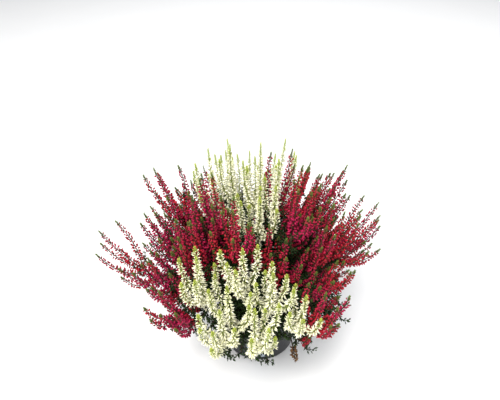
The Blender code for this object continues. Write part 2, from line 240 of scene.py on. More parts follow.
def growthMaterial(name, look):
    material, tree, shader = startMaterial(name)
    colours = tree.nodes.new("ShaderNodeGroup")
    colours.node_tree = growthColours
    for label in ("Base", "Middle", "Tip", "Patch", "Young"):
        colours.inputs[label].default_value = (*look[label.lower()], 1.0)
    colours.inputs["Patch Scale"].default_value = look["patchScale"]
    colours.inputs["Patch Amount"].default_value = look["patchAmount"]
    colours.inputs["Young Amount"].default_value = look["youngAmount"]
    tree.links.new(colours.outputs["Colour"], shader.inputs["Base Color"])
    shader.inputs["Specular IOR Level"].default_value = 0.25
    addGrain(tree, shader, look["grain"], look["smooth"], look["dull"], 0.0002)
    return material


growthLooks = {
    "creamBuds": {
        # The dark yellow-green base of each cream bud is partly its own green and partly painted shade
        # between the crowded buds.
        "base": (0.28, 0.34, 0.07), "middle": (0.88, 0.86, 0.60), "tip": (0.98, 0.97, 0.88),
        "patch": (0.84, 0.83, 0.50), "patchScale": 30.0, "patchAmount": 0.30,
        "young": (0.66, 0.70, 0.18), "youngAmount": 0.40,
        "grain": 700.0, "smooth": 0.45, "dull": 0.70,
    },
    "crimsonBuds": {
        # The near-black base of each crimson bud is partly its own dark maroon and partly painted shade
        # where the buds crowd the stalk.
        "base": (0.050, 0.005, 0.008), "middle": (0.37, 0.008, 0.021), "tip": (0.56, 0.022, 0.045),
        "patch": (0.38, 0.006, 0.082), "patchScale": 17.0, "patchAmount": 0.65,
        "young": (0.24, 0.016, 0.020), "youngAmount": 0.35,
        "grain": 700.0, "smooth": 0.40, "dull": 0.65,
    },
    "limeTips": {
        "base": (0.20, 0.27, 0.03), "middle": (0.38, 0.46, 0.05), "tip": (0.58, 0.62, 0.14),
        "patch": (0.30, 0.36, 0.04), "patchScale": 40.0, "patchAmount": 0.40,
        "young": (0.52, 0.60, 0.09), "youngAmount": 0.60,
        "grain": 600.0, "smooth": 0.40, "dull": 0.60,
    },
    "oliveTips": {
        "base": (0.030, 0.045, 0.010), "middle": (0.075, 0.120, 0.018), "tip": (0.150, 0.210, 0.035),
        "patch": (0.100, 0.060, 0.020), "patchScale": 40.0, "patchAmount": 0.40,
        "young": (0.160, 0.240, 0.035), "youngAmount": 0.70,
        "grain": 600.0, "smooth": 0.40, "dull": 0.60,
    },
    "darkLeavesAndPaintedShade": {
        # The leaves' own dark green is darkened to near-black, most at the leaf base: painted shade of the
        # crown's dense inside.
        "base": (0.004, 0.009, 0.003), "middle": (0.011, 0.030, 0.006), "tip": (0.036, 0.086, 0.015),
        "patch": (0.020, 0.034, 0.008), "patchScale": 35.0, "patchAmount": 0.50,
        "young": (0.085, 0.180, 0.024), "youngAmount": 0.55,
        "grain": 600.0, "smooth": 0.40, "dull": 0.65,
    },
    "witheredBuds": {
        "base": (0.035, 0.018, 0.008), "middle": (0.120, 0.058, 0.022), "tip": (0.230, 0.125, 0.050),
        "patch": (0.070, 0.028, 0.012), "patchScale": 60.0, "patchAmount": 0.60,
        "young": (0.150, 0.082, 0.032), "youngAmount": 0.50,
        "grain": 500.0, "smooth": 0.60, "dull": 0.90,
    },
    "redStalks": {
        "base": (0.030, 0.016, 0.010), "middle": (0.048, 0.030, 0.014), "tip": (0.060, 0.055, 0.018),
        "patch": (0.070, 0.014, 0.012), "patchScale": 30.0, "patchAmount": 0.50,
        "young": (0.065, 0.075, 0.022), "youngAmount": 0.60,
        "grain": 500.0, "smooth": 0.50, "dull": 0.80,
    },
    "paleStalks": {
        "base": (0.110, 0.120, 0.040), "middle": (0.240, 0.300, 0.080), "tip": (0.360, 0.460, 0.110),
        "patch": (0.200, 0.200, 0.070), "patchScale": 30.0, "patchAmount": 0.50,
        "young": (0.380, 0.520, 0.100), "youngAmount": 0.60,
        "grain": 500.0, "smooth": 0.50, "dull": 0.75,
    },
    "bark": {
        "base": (0.030, 0.018, 0.010), "middle": (0.046, 0.028, 0.016), "tip": (0.040, 0.040, 0.018),
        "patch": (0.060, 0.040, 0.024), "patchScale": 60.0, "patchAmount": 0.60,
        "young": (0.060, 0.070, 0.024), "youngAmount": 0.40,
        "grain": 320.0, "smooth": 0.65, "dull": 0.95,
    },
}
growthMaterials = {name: growthMaterial(name, look) for name, look in growthLooks.items()}

# The crown's growth rule. It repeats the layout of the solids with the same draws.

pot = {
    "height": 0.095, "baseRadius": 0.0395, "neckRadius": 0.0515, "rimRadius": 0.0545,
    "rimBand": 0.0090, "wall": 0.0012, "floor": 0.0016, "footRound": 0.0060, "lip": 0.0004,
    "edge": 0.0012, "drainRadius": 0.0040, "drainRing": 0.0240, "drainHoles": 6, "segments": 96,
}
soil = {"top": 0.0830, "rootRing": 0.0165, "rootDepth": 0.0240, "woodyRadius": 0.0025, "forkHeight": 0.1010}
crown = {
    "radius": 0.1715, "height": 0.262, "middle": 0.130, "shift": -0.010,
    "lowestTip": math.radians(95), "frontRaised": 0.16, "frontDrawnIn": 0.20, "backDrawnIn": 0.28,
    "frontShortened": 0.16, "lowestFoot": 0.058,
    "sprays": 53, "innerEvery": 4, "frontCrowding": 0.36, "shortest": 0.080, "longest": 0.102,
    "innerShare": 0.80, "sideRacemes": 150, "mostSides": 3, "mostSidesInFront": 5,
    "sideFullness": 0.88, "room": 0.0006, "touchGap": 0.0003, "forkSpread": 0.0040,
    "rimClearance": 0.0060, "clearFrom": 0.0280, "racemeRadius": 0.0070, "shootRadius": 0.0039,
    "bareStem": 0.0220, "bareRadius": 0.0018, "shortestStem": 0.012, "sprayTries": 40, "sideTries": 30,
    "firstSpread": 0.4, "triesToWiden": 16, "strayAzimuth": 6, "strayPolar": 5, "highestTip": 0.05,
    "reach": (0.92, 1.0), "innerReach": (0.62, 0.78), "innerPolar": 0.85, "roundShift": 0.31,
    "greenShoots": 8, "greenShootTip": 0.030, "greenTries": 60, "greenStray": 22, "greenPolar": (62, 88),
    "greenReach": (0.58, 0.72),
}
bends = {  # how a shoot leaves the fork and stands, angles in degrees
    "rise": 86, "lowRise": 52, "riseCurve": 1.1, "lean": 0.46, "frontUpright": 0.75, "strayLean": 6,
    "footLean": 6, "lowFootLean": 16, "leaving": 0.48, "arriving": 0.32,
}
plants = {
    "red_left": (math.radians(180), "crimson_flowers"),
    "red_right": (math.radians(0), "crimson_flowers"),
    "white_front": (math.radians(-90), "white_flowers"),
    "white_back": (math.radians(90), "white_flowers"),
}
goldenAngle = math.radians(137.508)
upward = np.array([0.0, 0.0, 1.0])
draws = random.Random(39)


def plantRoot(name):
    direction = plants[name][0]
    return Vector((soil["rootRing"] * math.cos(direction), soil["rootRing"] * math.sin(direction), 0))


def plantTowards(azimuth):
    place = Vector((math.cos(azimuth), math.sin(azimuth), 0)) * soil["rootRing"]
    return min(plants, key=lambda name: (plantRoot(name) - place).length)


def curvePoints(handles, count=61):
    a, b, c, d = (np.array(h, float) for h in handles)
    t = np.linspace(0, 1, count)[:, None]
    return a * (1 - t) ** 3 + 3 * b * t * (1 - t) ** 2 + 3 * c * t**2 * (1 - t) + d * t**3


def lengthsAlong(points):
    steps = np.linalg.norm(np.diff(points, axis=0), axis=1)
    return np.concatenate([[0], np.cumsum(steps)])


def atLengths(points, wanted):
    along = lengthsAlong(points)
    return np.stack([np.interp(wanted, along, points[:, k]) for k in range(3)], 1)


def racemeProfile(share):
    # Full from a fifth of its length, narrower from two fifths, and 0.4 of its width at the tip.
    swell = min(1.0, 0.66 + 1.8 * share)
    return swell * (1 - 0.60 * max(0.0, share - 0.40) / 0.60)


def flowerColour(tip, chance):
    x, y, _ = tip
    lowFront = y < -0.100 and -0.068 < x < 0.056
    frontLeft = -0.086 < x < -0.034 and -0.124 < y < -0.072
    frontRight = 0.010 < x < 0.036 and -0.124 < y < -0.068
    back = y > -0.040 and -0.058 < x < 0.036
    if lowFront or frontLeft or frontRight or back:
        return "white_flowers" if chance > 0.07 else "crimson_flowers"
    return "crimson_flowers" if chance > 0.05 or y < 0 else "white_flowers"


def nearestPlant(colour, tip):
    def off(name):
        return (plantRoot(name) - Vector((tip[0], tip[1], 0)).normalized() * soil["rootRing"]).length

    return min((name for name in plants if plants[name][1] == colour), key=off)


def frontness(azimuth):
    return max(0.0, -math.sin(azimuth)) ** 1.5


def tipPlace(polar, azimuth, reach):
    across = math.sin(azimuth)
    drawnIn = crown["frontDrawnIn"] * max(0.0, -across) + crown["backDrawnIn"] * max(0.0, across)
    wide = crown["radius"] * math.sin(polar) * reach * (1 - drawnIn)
    shift = crown["shift"] * min(1.0, polar / math.radians(60))
    high = crown["middle"] + (crown["height"] - crown["middle"]) * math.cos(polar) * reach
    return np.array([wide * math.cos(azimuth) + shift, wide * math.sin(azimuth), high])


def shootCurve(plant, polar, azimuth, reach, length, chance):
    # A shoot leaves the fork, bends out over the rim if it is a low one, turns up to the foot
    # of its raceme and grows on almost straight to its tip. Returns its points and how far along
    # them that foot is.
    outward = np.array([math.cos(azimuth), math.sin(azimuth), 0.0])
    lowness = min(1.0, polar / math.radians(90))
    lowOnFork = crown["forkSpread"] * (1 + chance.random())
    start = np.array(plantRoot(plant)) + upward * (soil["forkHeight"] - lowOnFork)
    tip = tipPlace(polar, azimuth, reach)
    rise = math.radians(bends["rise"] - bends["lowRise"] * lowness ** bends["riseCurve"])
    leave = outward * math.cos(rise) + upward * math.sin(rise)
    strayLean = math.radians(chance.uniform(-bends["strayLean"], bends["strayLean"]))
    lean = bends["lean"] * polar * (1 - bends["frontUpright"] * frontness(azimuth)) + strayLean
    arrive = outward * math.sin(lean) + upward * math.cos(lean)
    footLean = lean + math.radians(bends["footLean"] + bends["lowFootLean"] * lowness)
    turnUp = outward * math.sin(footLean) + upward * math.cos(footLean)
    foot = tip - (arrive + turnUp) * 0.5 * length
    apart = np.linalg.norm(foot - start)
    leaving = start + leave * apart * bends["leaving"]
    stem = curvePoints([start, leaving, foot - turnUp * apart * bends["arriving"], foot], 31)
    raceme = curvePoints([foot, foot + turnUp * length / 3, tip - arrive * length / 3, tip], 31)
    return np.concatenate([stem, raceme[1:]]), lengthsAlong(stem)[-1]


def clashes(points, radii, placed, ownNodes, gap):
    for other in placed:
        if other["node"] in ownNodes:
            continue
        apart = np.linalg.norm(points[:, None] - other["points"][None], axis=2)
        if (apart < radii[:, None] + other["radii"][None] + gap).any():
            return True
    return False


def sampled(points, start, end, radiusAt):
    wanted = np.linspace(start, end, max(3, int((end - start) / 0.003)))
    return atLengths(points, wanted), np.array([radiusAt(w) for w in wanted])


def stemRadiusAt(distance):
    return crown["bareRadius"] if distance < crown["bareStem"] else crown["shootRadius"]


def racemeRadiusAt(start, length, fullness):
    def radius(distance):
        share = min(1.0, max(0.0, (distance - start) / length))
        return crown["racemeRadius"] * fullness * racemeProfile(share)

    return radius


def aboveRim(points):
    flat = np.hypot(points[:, 0], points[:, 1])
    over = (flat < pot["rimRadius"] + crown["rimClearance"]) & (
        points[:, 2] < pot["height"] + crown["rimClearance"]
    )
    return not ((flat > crown["clearFrom"]) & over).any()


def planSpray(k, placed, name):
    span = 1 - math.cos(crown["lowestTip"])
    place = (k % crown["sprays"] + 0.5 + crown["roundShift"] * (k // crown["sprays"])) / crown["sprays"]
    basePolar = math.acos(1 - span * (place % 1.0))
    baseAzimuth = k * goldenAngle - crown["frontCrowding"] * math.cos(k * goldenAngle)
    aside, down = crown["strayAzimuth"], crown["strayPolar"]
    for attempt in range(crown["sprayTries"]):
        spread = crown["firstSpread"] + attempt / crown["triesToWiden"]
        azimuth = baseAzimuth + math.radians(draws.uniform(-aside, aside)) * spread
        lowest = crown["lowestTip"] * (1 - crown["frontRaised"] * frontness(azimuth))
        polar = basePolar + math.radians(draws.uniform(-down, down)) * spread
        polar = min(max(polar, crown["highestTip"]), lowest)
        reach = draws.uniform(*crown["reach"])
        length = draws.uniform(crown["shortest"], crown["longest"])
        length *= 1 - crown["frontShortened"] * frontness(azimuth)
        if k % crown["innerEvery"] == 2:
            reach = draws.uniform(*crown["innerReach"])
            polar *= crown["innerPolar"]
            length *= crown["innerShare"]
        tip = tipPlace(polar, azimuth, reach)
        colour = flowerColour(tip, draws.random())
        plant = nearestPlant(colour, tip)
        points, start = shootCurve(plant, polar, azimuth, reach, length, draws)
        total = lengthsAlong(points)[-1]
        stem = sampled(points, 0, start, stemRadiusAt)
        flowers = sampled(points, start, total, racemeRadiusAt(start, total - start, 1.0))
        tooShort = start < crown["bareStem"] + crown["shortestStem"]
        if tooShort or points[10:, 2].min() < crown["lowestFoot"]:
            continue
        if not aboveRim(points) or clashes(*stem, placed, (plant,), crown["room"]):
            continue
        if clashes(*flowers, placed, (), crown["room"]):
            continue
        placed.append({"node": plant, "points": stem[0], "radii": stem[1]})
        placed.append({"node": name, "points": flowers[0], "radii": flowers[1]})
        return {
            "name": name, "plant": plant, "colour": colour, "points": points,
            "start": start, "length": total - start, "sides": [], "fillers": [],
        }
    return None


def planSprays():
    placed, sprays = [], []
    for k in range(4 * crown["sprays"]):
        spray = planSpray(k, placed, f"spray_{len(sprays) + 1:02d}")
        if spray:
            sprays.append(spray)
        if len(sprays) == crown["sprays"]:
            break
    return sprays, placed


sideRule = {
    "leave": (0.004, 0.020), "offset": (0.0150, 0.0240), "share": (0.60, 0.78), "endsAt": 0.96,
    "ahead": 0.62, "aside": 0.78, "leaving": 0.017, "arriving": 0.030,
    "mainFrom": 0.030, "mainRadius": 0.0045, "sideFrom": 8, "sideRadius": 0.0040,
}


def sideCurve(spray, chance, share=sideRule["share"], early=0.0):
    # A side raceme leaves the main one low down and grows up beside it.
    points = spray["points"]
    leaveAt = spray["start"] + chance.uniform(*sideRule["leave"]) - early
    length = chance.uniform(*share) * spray["length"]
    endAt = leaveAt + length * sideRule["endsAt"]
    start, nearEnd = atLengths(points, [leaveAt, min(endAt, lengthsAlong(points)[-1])])
    before, after = atLengths(points, [leaveAt, leaveAt + 0.002])
    tangent = (after - before) / np.linalg.norm(after - before)
    before, after = atLengths(points, [endAt - 0.004, endAt])
    late = (after - before) / max(np.linalg.norm(after - before), 1e-9)
    turn = chance.uniform(0, 2 * math.pi)
    first = np.array(Vector(tangent).orthogonal().normalized())
    second = np.cross(tangent, first)
    aside = first * math.cos(turn) + second * math.sin(turn)
    offset = chance.uniform(*sideRule["offset"])
    tip = nearEnd + aside * offset
    away = tangent * sideRule["ahead"] + aside * sideRule["aside"]
    leaving = start + away * sideRule["leaving"]
    return curvePoints([start, leaving, tip - late * sideRule["arriving"], tip], 41)


def ownFlowers(spray):
    # The upper main raceme and the side racemes that a further side raceme keeps clear of.
    top = spray["start"] + spray["length"]
    low = spray["start"] + sideRule["mainFrom"]
    main = sampled(spray["points"], low, top, lambda distance: sideRule["mainRadius"])
    own = [{"node": "", "points": main[0], "radii": main[1]}]
    for side in spray["sides"]:
        upper = side[sideRule["sideFrom"] :]
        own.append({"node": "", "points": upper, "radii": np.full(len(upper), sideRule["sideRadius"])})
    return own


def planSide(spray, placed):
    for _ in range(crown["sideTries"]):
        points = sideCurve(spray, draws)
        total = lengthsAlong(points)[-1]
        flowers = sampled(points, 0, total, racemeRadiusAt(0, total, crown["sideFullness"]))
        half = len(flowers[0]) // 2
        if not aboveRim(points):
            continue
        if clashes(flowers[0][half:], flowers[1][half:], ownFlowers(spray), (), crown["touchGap"]):
            continue
        if clashes(*flowers, placed, (spray["name"],), crown["room"]):
            continue
        placed.append({"node": spray["name"], "points": flowers[0], "radii": flowers[1]})
        spray["sides"].append(points)
        return True
    return False


def planSides(sprays, placed):
    made = 0
    for turn in range(crown["mostSidesInFront"]):
        for spray in sprays:
            inFront = spray["points"][-1][1] < -0.05
            most = crown["mostSidesInFront"] if inFront else crown["mostSides"]
            frontTurn = turn == 1 and not inFront
            if made == crown["sideRacemes"] or len(spray["sides"]) >= most or frontTurn:
                continue
            made += planSide(spray, placed)
    return made


def planGreenShoots(placed):
    shoots = []
    stray = crown["greenStray"]
    for k in range(crown["greenShoots"]):
        for _ in range(crown["greenTries"]):
            azimuth = k * 2 * math.pi / crown["greenShoots"] + math.radians(draws.uniform(-stray, stray))
            polar = math.radians(draws.uniform(*crown["greenPolar"]))
            plant = plantTowards(azimuth)
            reach = draws.uniform(*crown["greenReach"])
            points, _ = shootCurve(plant, polar, azimuth, reach, crown["greenShootTip"], draws)
            total = lengthsAlong(points)[-1]
            stem = sampled(points, 0, total, stemRadiusAt)
            if not aboveRim(points) or clashes(*stem, placed, (plant,), crown["room"]):
                continue
            placed.append({"node": plant, "points": stem[0], "radii": stem[1]})
            shoots.append({"plant": plant, "points": points, "length": total})
            break
    return shoots


sprays, placed = planSprays()
sideCount = planSides(sprays, placed)
shoots = planGreenShoots(placed)
print("crown laid out:", len(sprays), "sprays,", sideCount, "side racemes,", len(shoots), "green shoots")

# Finer racemes stand between the laid-out ones, each in the widest gap of those it tries.

fillings = {
    "everywhere": {
        "racemes": 53, "each": 1, "early": 0.0, "share": (0.45, 0.72), "radius": 0.0040, "squeeze": 0.0016,
    },
    "crimson": {
        "racemes": 96, "each": 3, "early": 0.020, "share": (0.50, 0.72), "radius": 0.0034, "squeeze": 0.0044,
    },
}
fillTries = 16
ownAllowance = 0.0025  # how much nearer a raceme may come to its own spray and stem
fillDraws = random.Random(7)


def clearance(points, radius, others, ownNodes):
    nearest = 1.0
    for other in others:
        own = other["node"] in ownNodes
        lane = points[len(points) // 2 :] if own else points
        apart = np.linalg.norm(lane[:, None] - other["points"][None], axis=2) - other["radii"][None]
        nearest = min(nearest, apart.min() - radius + (ownAllowance if own else 0.0))
    return nearest


def planFillers(chosen, filling):
    made = 0
    for turn in range(filling["each"]):
        for spray in chosen:
            if made == filling["racemes"]:
                return made
            best, room = None, -filling["squeeze"]
            for _ in range(fillTries):
                points = sideCurve(spray, fillDraws, filling["share"], filling["early"])
                if not aboveRim(points):
                    continue
                own = (spray["name"], spray["plant"])
                found = clearance(points[::2], filling["radius"], placed, own)
                if found > room:
                    best, room = points, found
            if best is not None:
                spray["fillers"].append(best)
                radii = np.full(len(best), filling["radius"])
                placed.append({"node": spray["name"], "points": best, "radii": radii})
                made += 1
    return made


frontFirst = sorted(sprays, key=lambda spray: spray["points"][-1][1])
redFlanks = [spray for spray in sprays if spray["colour"] == "crimson_flowers"]
redFlanks.sort(key=lambda spray: -abs(spray["points"][-1][0]))
filled = planFillers(frontFirst, fillings["everywhere"])
print("filling racemes:", filled, "everywhere,", planFillers(redFlanks, fillings["crimson"]), "crimson")

# Leafy shoots without flowers fill the crown's inside and hide the rim.

understory = {
    "shoots": 52, "polar": (38, 92), "reach": (0.40, 0.72), "front": 0.42, "stray": 10, "tip": 0.024,
    "tries": 12, "lowest": 0.048, "seed": 19,
}
skirt = {
    "shoots": 92, "front": 0.50, "stray": 9, "radius": (0.066, 0.100), "height": (0.050, 0.098),
    "belowFork": 0.005, "rise": (0.028, 0.042), "inward": 0.030, "over": (0.034, 0.050), "leave": 0.024,
}
underDraws = random.Random(understory["seed"])


def underAzimuth(k, rule):
    azimuth = k * goldenAngle - rule["front"] * math.cos(k * goldenAngle)
    return azimuth + math.radians(underDraws.uniform(-rule["stray"], rule["stray"]))


def planUnderstory():
    made = []
    for k in range(understory["shoots"]):
        for _ in range(understory["tries"]):
            azimuth = underAzimuth(k, understory)
            polar = math.radians(underDraws.uniform(*understory["polar"]))
            plant = plantTowards(azimuth)
            reach = underDraws.uniform(*understory["reach"])
            points, _ = shootCurve(plant, polar, azimuth, reach, understory["tip"], underDraws)
            if aboveRim(points) and points[:, 2].min() > understory["lowest"]:
                made.append({"plant": plant, "points": points, "kind": "hidden"})
                break
    return made


def archCurve(plant, tip, outward, belowFork, rise, inward, over):
    # From the fork up by rise, out over the rim, and down to a tip that lies below the arch.
    start = np.array(plantRoot(plant)) + upward * (soil["forkHeight"] - belowFork)
    top = tip - outward * inward + upward * over
    return curvePoints([start, start + outward * skirt["leave"] + upward * rise, top, tip], 41)


def planSkirt():
    # Leafy shoots that arch over the rim and hide it, most of them at the front.
    made = []
    for k in range(skirt["shoots"]):
        for _ in range(understory["tries"]):
            azimuth = underAzimuth(k, skirt)
            outward = np.array([math.cos(azimuth), math.sin(azimuth), 0.0])
            plant = plantTowards(azimuth)
            tip = outward * underDraws.uniform(*skirt["radius"])
            tip = tip + upward * underDraws.uniform(*skirt["height"])
            rise = underDraws.uniform(*skirt["rise"])
            over = underDraws.uniform(*skirt["over"])
            points = archCurve(plant, tip, outward, skirt["belowFork"], rise, skirt["inward"], over)
            if aboveRim(points):
                made.append({"plant": plant, "points": points, "kind": "skirt"})
                break
    return made


hidden = planUnderstory() + planSkirt()
print("understory:", len(hidden), "shoots")

# Mesh tools


def spindle(sides, rings):
    # A closed form from a point at the base through the rings to a point at the tip.
    vertices = [(0, 0, 0)]
    for height, radius in rings:
        for k in range(sides):
            angle = 2 * math.pi * k / sides
            vertices.append((radius * math.cos(angle), radius * math.sin(angle), height))
    vertices.append((0, 0, 1))
    faces = []
    for k in range(sides):
        after = (k + 1) % sides
        faces.append((0, 1 + after, 1 + k))
        for ring in range(len(rings) - 1):
            low = 1 + ring * sides
            high = low + sides
            faces += [(low + k, low + after, high + after), (low + k, high + after, high + k)]
        top = 1 + (len(rings) - 1) * sides
        faces.append((top + k, top + after, len(vertices) - 1))
    return np.array(vertices, float), np.array(faces, np.int64)


def placeForms(form, places, directions, facing, lengths, widths, depths, slot, chances, ages):
    # One form for each place: its long axis along direction, its depth towards facing.
    vertices, faces = form
    directions = directions / np.linalg.norm(directions, axis=1, keepdims=True)
    side = np.cross(directions, facing)
    side /= np.maximum(np.linalg.norm(side, axis=1, keepdims=True), 1e-9)
    front = np.cross(side, directions)
    made = places[:, None] + directions[:, None] * (vertices[None, :, 2:3] * lengths[:, None, None])
    made = made + front[:, None] * (vertices[None, :, 0:1] * depths[:, None, None])
    made = made + side[:, None] * (vertices[None, :, 1:2] * widths[:, None, None])
    count, size = len(places), len(vertices)
    allFaces = faces[None] + (np.arange(count) * size)[:, None, None]
    growth = np.empty((count, size, 3), np.float32)
    growth[:, :, 0] = vertices[None, :, 2]
    growth[:, :, 1] = chances[:, None]
    growth[:, :, 2] = ages[:, None]
    return made.reshape(-1, 3), allFaces.reshape(-1, 3), slot, growth.reshape(-1, 3)


def framesAt(points, wanted):
    along = lengthsAlong(points)
    tangents = np.gradient(points, axis=0)
    tangents /= np.maximum(np.linalg.norm(tangents, axis=1, keepdims=True), 1e-9)
    normal = np.array(Vector(tangents[0]).orthogonal().normalized())
    normals = []
    for tangent in tangents:
        normal = normal - tangent * normal.dot(tangent)
        normal = normal / np.linalg.norm(normal)
        normals.append(normal)
    normals = np.array(normals)
    centres = atLengths(points, wanted)
    ahead = np.stack([np.interp(wanted, along, tangents[:, k]) for k in range(3)], 1)
    across = np.stack([np.interp(wanted, along, normals[:, k]) for k in range(3)], 1)
    ahead /= np.linalg.norm(ahead, axis=1, keepdims=True)
    across -= ahead * (across * ahead).sum(1, keepdims=True)
    across /= np.linalg.norm(across, axis=1, keepdims=True)
    return centres, ahead, across, np.cross(ahead, across)


def tubeAlong(points, start, end, radii, sides, slot, chance, ages, step=0.0035):
    # radii and ages are pairs, at the start and at the end.
    count = max(3, int((end - start) / step) + 1)
    wanted = np.linspace(start, end, count)
    centres, _, first, second = framesAt(points, wanted)
    angles = 2 * math.pi * np.arange(sides) / sides
    ring = first[:, None] * np.cos(angles)[None, :, None] + second[:, None] * np.sin(angles)[None, :, None]
    radius = np.linspace(radii[0], radii[1], count)
    vertices = (centres[:, None] + ring * radius[:, None, None]).reshape(-1, 3)
    low = (np.arange(count - 1) * sides)[:, None]
    k = np.arange(sides)[None]
    after = (k + 1) % sides
    a, b, c, d = low + k, low + after, low + sides + after, low + sides + k
    faces = np.concatenate([np.stack([a, b, c], 2).reshape(-1, 3), np.stack([a, c, d], 2).reshape(-1, 3)])
    size = len(vertices)
    vertices = np.concatenate([vertices, centres[:1], centres[-1:]])
    last = (count - 1) * sides
    caps = [(k + 1) % sides for k in range(sides)]
    faces = np.concatenate([
        faces,
        np.array([(size, caps[k], k) for k in range(sides)]),
        np.array([(size + 1, last + k, last + caps[k]) for k in range(sides)]),
    ])
    growth = np.empty((len(vertices), 3), np.float32)
    growth[:, 0] = 0.5
    growth[:, 1] = chance
    growth[:size, 2] = np.repeat(np.linspace(ages[0], ages[1], count), sides)
    growth[size:, 2] = (ages[0], ages[1])
    return vertices, faces, slot, growth


def outAt(across, second, turns):
    # Directions out from the stalk at these turns round it.
    return across * np.cos(turns)[:, None] + second * np.sin(turns)[:, None]


def tilted(radial, ahead, tilt):
    return radial * np.cos(tilt)[:, None] + ahead * np.sin(tilt)[:, None]


triangleCounts = {}


def addObject(name, mesh):
    thing = bpy.data.objects.new(name, mesh)
    bpy.context.scene.collection.objects.link(thing)
    return thing


def plainMesh(name, vertices, faces):
    mesh = bpy.data.meshes.new(name)
    mesh.from_pydata(vertices, [], faces)
    return mesh


def register(piece, node=None):
    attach(piece, "root")
    if node:
        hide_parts(node)


def makePiece(name, chunks, materials, node=None):
    offset, vertices, faces, slots, growth = 0, [], [], [], []
    for chunkVertices, chunkFaces, slot, chunkGrowth in chunks:
        vertices.append(chunkVertices)
        faces.append(chunkFaces + offset)
        slots.append(np.full(len(chunkFaces), slot, np.int32))
        growth.append(chunkGrowth)
        offset += len(chunkVertices)
    vertices, faces = np.concatenate(vertices), np.concatenate(faces)
    mesh = bpy.data.meshes.new(name)
    mesh.vertices.add(len(vertices))
    mesh.vertices.foreach_set("co", vertices.astype(np.float32).ravel())
    mesh.loops.add(faces.size)
    mesh.loops.foreach_set("vertex_index", faces.astype(np.int32).ravel())
    mesh.polygons.add(len(faces))
    mesh.polygons.foreach_set("loop_start", np.arange(0, faces.size, 3, dtype=np.int32))
    mesh.polygons.foreach_set("material_index", np.concatenate(slots))
    mesh.update(calc_edges=True)
    mesh.shade_smooth()
    colours = mesh.color_attributes.new("growth", "FLOAT_COLOR", "POINT")
    values = np.ones((len(vertices), 4), np.float32)
    values[:, :3] = np.concatenate(growth)
    colours.data.foreach_set("color", values.ravel())
    for material in materials:
        mesh.materials.append(growthMaterials[material] if isinstance(material, str) else material)
    register(addObject(name, mesh), node)
    triangleCounts[name] = len(faces)


# Racemes

racemeLooks = {  # lengths in metres, angles in degrees, materials for buds, leaves and stalk
    "white_front": {
        "materials": ("creamBuds", "limeTips", "paleStalks"), "step": 0.00054, "budLength": 0.0061,
        "budWidth": 0.00082, "offset": 0.0010, "lowTilt": -24, "highTilt": 44, "greenFrom": 0.93,
        "tipLeaves": 20, "tipLeafLength": 0.0034, "tipLeafWidth": 0.00062, "stalk": (0.00075, 0.0004),
    },
    "white_back": {
        "materials": ("creamBuds", "limeTips", "paleStalks"), "step": 0.00062, "budLength": 0.0048,
        "budWidth": 0.00098, "offset": 0.0009, "lowTilt": 0, "highTilt": 54, "greenFrom": 0.88,
        "tipLeaves": 24, "tipLeafLength": 0.0036, "tipLeafWidth": 0.00060, "stalk": (0.0007, 0.0004),
    },
    "red_left": {
        "materials": ("crimsonBuds", "oliveTips", "redStalks"), "step": 0.00068, "budLength": 0.0047,
        "budWidth": 0.00132, "offset": 0.0012, "lowTilt": -8, "highTilt": 46, "greenFrom": 0.92,
        "tipLeaves": 22, "tipLeafLength": 0.0030, "tipLeafWidth": 0.00058, "stalk": (0.0007, 0.0004),
    },
}
racemeLooks["red_right"] = dict(racemeLooks["red_left"], step=0.00070)

budForms = {"creamBuds": spindle(4, [(0.24, 0.80), (0.60, 1.0)])}
budForms["crimsonBuds"] = budForms["witheredBuds"] = spindle(3, [(0.22, 0.80), (0.58, 1.0)])
leafForm = spindle(4, [(0.40, 1.0)])
flowerDraws = np.random.default_rng(11)
budRule = {
    "bare": 0.03, "strayPlace": 1.2, "strayTurn": 0.7, "strayTilt": 20, "tiltCurve": 1.4, "sizeCurve": 0.8,
    "fullnessCurve": 0.6, "size": (0.74, 1.14), "offset": (0.5, 1.3), "widthCurve": 0.5,
    "width": (0.85, 1.12),
}
tuftRule = {
    "tilt": 38, "steeper": 34, "shorter": 0.35, "length": (0.85, 1.15), "offset": 0.0003, "depth": 0.6,
}
smallLeaves = {
    "spacing": 0.0034, "fewest": 6, "aside": 0.75, "ahead": 0.66, "offset": 0.0004, "length": 0.0034,
    "width": 0.00055, "depth": 0.00035, "age": 0.2,
}
fillerFullness = 0.72
mainLength = 0.995  # the main raceme's share of its length, a hair short of the spray's end


def growBuds(points, start, length, look, fullness):
    # The buds spiral up the stalk at about even steps, smaller towards the top, to where the
    # green tip begins.
    rule = budRule
    budsEnd = start + length * look["greenFrom"]
    first = start + rule["bare"] * length
    count = int((budsEnd - first) / look["step"])
    wanted = np.linspace(first, budsEnd, count)
    wanted += flowerDraws.uniform(-rule["strayPlace"], rule["strayPlace"], count) * look["step"]
    share = (wanted - start) / length
    centres, ahead, across, second = framesAt(points, wanted)
    strays = flowerDraws.uniform(-rule["strayTurn"], rule["strayTurn"], count)
    radial = outAt(across, second, np.arange(count) * goldenAngle + strays)
    tilt = np.radians(
        look["lowTilt"] + (look["highTilt"] - look["lowTilt"]) * share ** rule["tiltCurve"]
        + flowerDraws.uniform(-rule["strayTilt"], rule["strayTilt"], count)
    )
    profile = np.array([racemeProfile(min(1.0, max(0.0, s))) for s in share])
    size = profile ** rule["sizeCurve"]
    size = size * fullness ** rule["fullnessCurve"] * flowerDraws.uniform(*rule["size"], count)
    places = centres + radial * (look["offset"] * flowerDraws.uniform(*rule["offset"], count))[:, None]
    widths = look["budWidth"] * size ** rule["widthCurve"] * flowerDraws.uniform(*rule["width"], count)
    return placeForms(
        budForms[look["materials"][0]], places, tilted(radial, ahead, tilt), ahead,
        look["budLength"] * size, widths, widths, 0, flowerDraws.random(count), share,
    )


